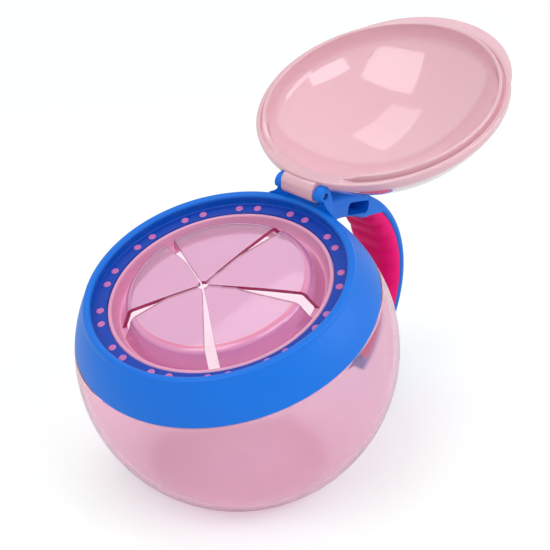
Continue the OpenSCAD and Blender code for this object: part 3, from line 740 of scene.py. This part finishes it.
# Per slit: how far each lip stands back at the wall, where along the slit it starts to, and how fast
SLIT_LIPS = {(0, 1): (2.6, 0.45, 0.9), (0, -1): (0.3, 0.3, 1.0), (1, 1): (3.4, 0.34, 0.7),
             (1, -1): (0.7, 0.3, 1.2), (2, 1): (0.7, 0.1, 1.2), (2, -1): (2.2, 0.08, 0.9),
             (3, 1): (0.5, 0.4, 1.2), (3, -1): (3.4, 0.45, 1.1), (4, 1): (0.4, 0.4, 1.0),
             (4, -1): (2.6, 0.45, 0.9)}


def make_petal(k, crown):
    """One petal with its part of the raised middle's wall, cut from the crowned cup between two slits."""
    star = Vector(STAR)

    def side_line(number, turn):
        """Points along one side of a slit, from the star's hole out past the drum's wall."""
        back, since, power = SLIT_LIPS[(number % 5, turn)]
        a = math.radians(SLIT_TURN + 72 * number)
        to = lambda r: Vector((r * math.sin(a), r * math.cos(a)))
        reach, drum = (to(31.12) - star).length, (to(DRUM_R) - star).length
        d = (to(31.12) - star).normalized()
        n = Vector((d.y, -d.x)) * turn
        t0 = math.sqrt(STAR_R ** 2 - 0.25 ** 2)
        line = []
        for i in range(25):
            t = t0 + (reach + 2 - t0) * i / 24
            share = max(0.0, min(1.0, (t / drum - since) / (1 - since)))
            line.append(star + d * t + n * (0.25 + back * share ** power))
        return line

    first, last = side_line(k, 1), side_line(k + 1, -1)
    mid = math.radians(SLIT_TURN + 72 * k + 36)
    far = [Vector((45 * math.sin(mid + s), 45 * math.cos(mid + s))) for s in (-0.35, 0.35)]
    a0 = math.atan2(*(last[0] - star).yx)
    a1 = math.atan2(*(first[0] - star).yx)
    if a1 < a0:
        a1 += 2 * math.pi
    hole = [star + STAR_R * Vector((math.cos(a0 + (a1 - a0) * i / 8), math.sin(a0 + (a1 - a0) * i / 8)))
            for i in range(1, 8)]
    wedge = prism("wedge", [tuple(p) for p in first + far + last[::-1] + hole], 15, 40)
    obj = copied(crown, "petal")
    cut(obj, wedge, "INTERSECT")
    modify(obj, "BEVEL", width=0.22, segments=3, limit_method="ANGLE", angle_limit=math.radians(50),
           use_clamp_overlap=True)
    tidy(obj, 1e-3)
    # painted shade: the drum's wall gets a deeper copy of the flap rubber than its thin top, and the cut lips
    # a deeper one still, standing in for the rubber darkening where it is seen edge-on
    finish = []
    for face in obj.data.polygons:
        out = face.center.to_2d().normalized()
        across = abs(face.normal.to_2d().dot(Vector((out.y, -out.x))))
        finish.append(2 if across > 0.72 else 1 if face.center.to_2d().length > DRUM_R - DRUM_EDGE_R + 0.3
                      else 0)
    turned(obj, OPENING)
    finish_piece(obj, f"flap_petal_{k + 1}", FLAP_RUBBER, None, [f"petal_{k + 1}"], sharp=45)
    obj.data.materials.append(WALL_SHADE_RUBBER)
    obj.data.materials.append(LIP_SHADE_RUBBER)
    for face, slot in zip(obj.data.polygons, finish):
        face.material_index = slot
    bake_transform(obj)
    return obj


def make_petals():
    """The raised middle as one crowned cup, then its five petals."""
    top_r = DRUM_R - DRUM_EDGE_R
    crown_r = (top_r ** 2 + CROWN_RISE ** 2) / (2 * CROWN_RISE)
    mid_h = DRUM_TOP_H + CROWN_RISE - crown_r
    reach = math.degrees(math.asin(top_r / crown_r))
    top = arc((0, mid_h), crown_r, 90, 90 - reach, 16)
    low_reach = math.degrees(math.asin((top_r - 0.2) / (crown_r - FLAP_T)))
    under = arc((0, mid_h), crown_r - FLAP_T, 90 - low_reach, 90, 16)
    edge = arc((top_r, DRUM_TOP_H - DRUM_EDGE_R), DRUM_EDGE_R, 85, 12, 10)
    inside = arc((top_r, DRUM_TOP_H - DRUM_EDGE_R), DRUM_EDGE_R - FLAP_T, 12, 80, 6)
    section = top[:-1] + edge + [(30.35, 21.6), (30.75, 21.02), (29.05, 21.02), (29.1, 21.5)] + inside + under
    section[0], section[-1] = (0.0, top[0][1]), (0.0, under[-1][1])
    crown = lathe("crown", section, closed=False)
    for k in range(5):
        make_petal(k, crown)
    bpy.data.objects.remove(crown)


# ------------------------------------------------------------------ lid and pin
# How far out, to each side of the hinge, the plug ring's fade starts, bends and ends
RIDGE_FADE = {1: (12.0, 15.5, 19.0), -1: (14.0, 21.0, 29.0)}


def make_lid():
    """Thin dome with a plug ring and a groove at its rim, a thumb lip and a knuckle, swung open."""
    dome = lambda radius, height: math.degrees(math.asin((height - DOME_LIFT) / radius))
    inner_r = BALL_R - LID_WALL
    top_h = DOME_LIFT + math.sqrt(BALL_R ** 2 - RIM_R ** 2)
    inner_h = DOME_LIFT + math.sqrt(inner_r ** 2 - PLUG_BORE_R ** 2)
    outer = arc((0, DOME_LIFT), BALL_R, 90, dome(BALL_R, top_h), 56)
    inner = arc((0, DOME_LIFT), inner_r, dome(inner_r, inner_h), 90, 56)
    groove_r, groove_h = PLUG_R + 0.75, RIM_H + 1.6
    section = outer[:-2] + rounded([(*outer[-3], 0), (*outer[-1], 2.4), (RIM_R, RIM_H, 0.65),
                                    (groove_r, RIM_H, 0.45), (groove_r, groove_h, 0.3),
                                    (PLUG_R, groove_h, 0.3), (PLUG_R, RIM_H - PLUG_DROP, 0.57),
                                    (PLUG_BORE_R, RIM_H - PLUG_DROP, 0.57), (*inner[0], 6.0),
                                    (*inner[6], 0)], 6)[1:-1] + inner[6:]
    section[0], section[-1] = (0.0, DOME_LIFT + BALL_R), (0.0, DOME_LIFT + inner_r)
    lid = lathe("lid", section, closed=False)
    # beside the hinge the groove closes and the plug ring fades into the rim's flat face
    fill = lathe("groove fill", [(PLUG_R - 0.45, RIM_H - 0.3), (groove_r + 0.6, RIM_H - 0.3),
                                 (groove_r + 0.6, groove_h + 0.5), (PLUG_R - 0.45, groove_h + 0.5)])
    right, left = RIDGE_FADE[1], RIDGE_FADE[-1]
    roof = prism("roof", [(-left[0], RIM_H - 0.2), (right[0], RIM_H - 0.2), (right[2], groove_h + 0.1),
                          (right[2], groove_h + 2), (-left[2], groove_h + 2), (-left[2], groove_h + 0.1)],
                 20, 50)
    cut(fill, tidy(turned(roof, FROM_BACK)), "INTERSECT")
    cut(lid, fill, "UNION")
    for side in (1, -1):
        near, mid, far = RIDGE_FADE[side]
        under = prism("fade", [(-side * 0.5, RIM_H + 0.03), (side * near, RIM_H + 0.03),
                               (side * mid, RIM_H - 0.5), (side * far, RIM_H - 1.7),
                               (-side * 0.5, RIM_H - 8)], 20, 50)
        cut(lid, tidy(turned(under, FROM_BACK)))
    # thumb lip
    lip_r, lip_out = 36.0, 3.6
    lip = cylinder(lip_r, 1.8, (0, lip_r - RIM_R - lip_out, RIM_H + 1.33), 240)
    ease(lip, lambda a, b: abs(a.z - b.z) < 1e-3 and (a - b).length < 5, 0.8, 5)
    cut(lip, cylinder(RIM_R - 0.83, 20, (0, 0, RIM_H), 191))
    cut(lid, lip, "UNION")
    # room for the ears, then one curved tab that rolls up into the knuckle
    for x0 in (EAR_IN_X - 0.3, -EAR_IN_X - EAR_T - 0.3):
        room = EAR_T + 0.6
        cut(lid, cylinder(KNUCKLE_R + 0.3, room, (x0 + room / 2, HINGE_R, HINGE_H), across=True))
    roll, tab_r = [], 4.13
    for i in range(37):
        a = -92 + i * 5
        share = min(1.0, max(0.0, (a + 88) / 62))
        share = share * share * (3 - 2 * share)
        r = tab_r + (KNUCKLE_R - tab_r) * share
        roll.append((HINGE_R + r * math.cos(math.radians(a)), HINGE_H + r * math.sin(math.radians(a))))
    half = KNUCKLE_W / 2
    tab = plate("tab", [(38.4, RIM_H + 1.1), (39.0, RIM_H + 0.05)] + roll
                + [(HINGE_R - 1.6, HINGE_H + 2.87), (HINGE_R - 3.4, HINGE_H + 2.7), (36.9, HINGE_H + 1.2),
                   (37.7, HINGE_H + 0.4)], -half, half)
    ease(tab, lambda a, b: abs(abs(a.x) - half) < 1e-3 and abs(a.x - b.x) < 1e-3 and min(a.y, b.y) > 39.5,
         0.4, 3)
    cut(tab, ball_tool("dome room", BALL_R - 0.83, (0, 0, DOME_LIFT)))
    cut(lid, tab, "UNION")
    cut(lid, cylinder(PIN_R + 0.06, 14, (0, HINGE_R, HINGE_H), 48, across=True))
    tidy(lid, 1e-3)
    turned(lid, OPENING @ LID_SWING)
    return finish_piece(lid, "lid_shell", LID_PLASTIC, "lid", ["lid"])


def make_pin():
    """Steel pin with eased ends."""
    length = 17.0
    pin = cylinder(PIN_R, length, (0, HINGE_R, HINGE_H), 48, across=True)
    ease(pin, lambda a, b: abs(abs(a.x) - length / 2) < 1e-3 and abs(a.x - b.x) < 1e-3, 0.25, 2, clamp=False)
    turned(pin, OPENING)
    return finish_piece(pin, "hinge_pin_rod", PIN_STEEL, "collar", ["hinge_pin"])


make_bowl()
make_seal()
make_collar()
make_handle()
make_grip()
make_flap_rim()
make_petals()
make_lid()
make_pin()

# ------------------------------------------------------------------ camera
camera = bpy.data.objects.new("camera", bpy.data.cameras.new("camera"))
bpy.context.scene.collection.objects.link(camera)
camera.data.sensor_width = 36
camera.data.lens = 105.85
camera.data.clip_start = 0.02
camera.data.clip_end = 20
right, up = Vector((0.7413, 0.6712, 0)), Vector((-0.3224, 0.3561, 0.8771))
back = right.cross(up).normalized()
up = back.cross(right).normalized()
facing = Matrix((right.normalized(), up, back)).transposed().to_4x4()
camera.matrix_world = Matrix.Translation((0.2893, -0.3027, 0.2954)) @ facing
bpy.context.scene.camera = camera

# ------------------------------------------------------------------ studio
bpy.context.scene.view_settings.view_transform = "Standard"


def softbox(name, place, aim, size, power):
    """A rectangular studio lamp at a place, aimed at a point."""
    lamp = bpy.data.objects.new(name, bpy.data.lights.new(name, "AREA"))
    bpy.context.scene.collection.objects.link(lamp)
    lamp.data.shape = "RECTANGLE"
    lamp.data.size, lamp.data.size_y = size
    lamp.data.energy = power
    lamp.location = place
    lamp.rotation_mode = "QUATERNION"
    lamp.rotation_quaternion = (Vector(aim) - Vector(place)).to_track_quat("-Z", "Y")
    return lamp


MIDDLE = (0, 0.02, 0.05)  # of the object, where all the lamps point
softbox("key softbox", (0.07, -0.56, 0.71), MIDDLE, (0.65, 0.53), 2.3)
softbox("right softbox", (0.63, -0.04, 0.7), MIDDLE, (0.52, 0.3), 1.3)
softbox("side softbox", (0.75, 0.5, 0.45), MIDDLE, (0.6, 0.6), 2.2)
softbox("top softbox", (-0.3, 0.05, 0.95), MIDDLE, (0.6, 0.4), 1.0)


def maths(tree, operation, *values):
    """A Math node with each input linked to a socket or set to a number."""
    node = tree.nodes.new("ShaderNodeMath")
    node.operation = operation
    for socket, value in zip(node.inputs, values):
        if isinstance(value, bpy.types.NodeSocket):
            tree.links.new(value, socket)
        else:
            socket.default_value = value
    return node.outputs[0]


def make_world(light):
    """Plain white light that straight, mirrored and transmitted rays see as white."""
    world = bpy.data.worlds.new("studio")
    bpy.context.scene.world = world
    world.use_nodes = True
    tree = world.node_tree
    tree.nodes.clear()
    out = tree.nodes.new("ShaderNodeOutputWorld")
    mix = tree.nodes.new("ShaderNodeMixShader")
    for socket, strength in ((1, light), (2, 1.0)):
        card = tree.nodes.new("ShaderNodeBackground")
        card.inputs["Color"].default_value = (1, 1, 1, 1)
        card.inputs["Strength"].default_value = strength
        tree.links.new(card.outputs[0], mix.inputs[socket])
    path = tree.nodes.new("ShaderNodeLightPath")
    seen = maths(tree, "MAXIMUM", path.outputs["Is Camera Ray"], path.outputs["Is Glossy Ray"])
    seen = maths(tree, "MAXIMUM", seen, path.outputs["Is Transmission Ray"])
    tree.links.new(seen, mix.inputs[0])
    tree.links.new(mix.outputs[0], out.inputs["Surface"])


def make_floor(near_glow, far_glow, through_glow):
    """White card that glows a little: more far off than near the object, and more to transmitted rays."""
    bpy.ops.mesh.primitive_plane_add(size=6, location=(0, 0, -0.0005))
    floor = bpy.context.object
    floor.name = "floor"
    m = bpy.data.materials.new("floor card")
    m.use_nodes = True
    tree = m.node_tree
    card = tree.nodes["Principled BSDF"]
    card.inputs["Base Color"].default_value = (0.862, 0.915, 0.9, 1)
    card.inputs["Roughness"].default_value = 0.8
    card.inputs["Specular IOR Level"].default_value = 0.0
    place = tree.nodes.new("ShaderNodeTexCoord")
    nearby = tree.nodes.new("ShaderNodeGroup")
    nearby.node_tree = INSIDE_RIM
    nearby.inputs["Inner"].default_value, nearby.inputs["Outer"].default_value = 0.25, 1.1
    tree.links.new(place.outputs["Object"], nearby.inputs["Place"])
    level = tree.nodes.new("ShaderNodeMapRange")
    level.inputs["To Min"].default_value, level.inputs["To Max"].default_value = far_glow, near_glow
    tree.links.new(nearby.outputs["Mask"], level.inputs["Value"])
    path = tree.nodes.new("ShaderNodeLightPath")
    straight = maths(tree, "MULTIPLY", path.outputs["Is Camera Ray"], level.outputs["Result"])
    strength = maths(tree, "MULTIPLY_ADD", path.outputs["Is Transmission Ray"], through_glow, straight)
    glow = tree.nodes.new("ShaderNodeEmission")
    tree.links.new(strength, glow.inputs["Strength"])
    add = tree.nodes.new("ShaderNodeAddShader")
    tree.links.new(card.outputs["BSDF"], add.inputs[0])
    tree.links.new(glow.outputs["Emission"], add.inputs[1])
    tree.links.new(add.outputs["Shader"], tree.nodes["Material Output"].inputs["Surface"])
    floor.data.materials.append(m)


make_world(light=0.62)
make_floor(near_glow=0.165, far_glow=0.5, through_glow=0.5)
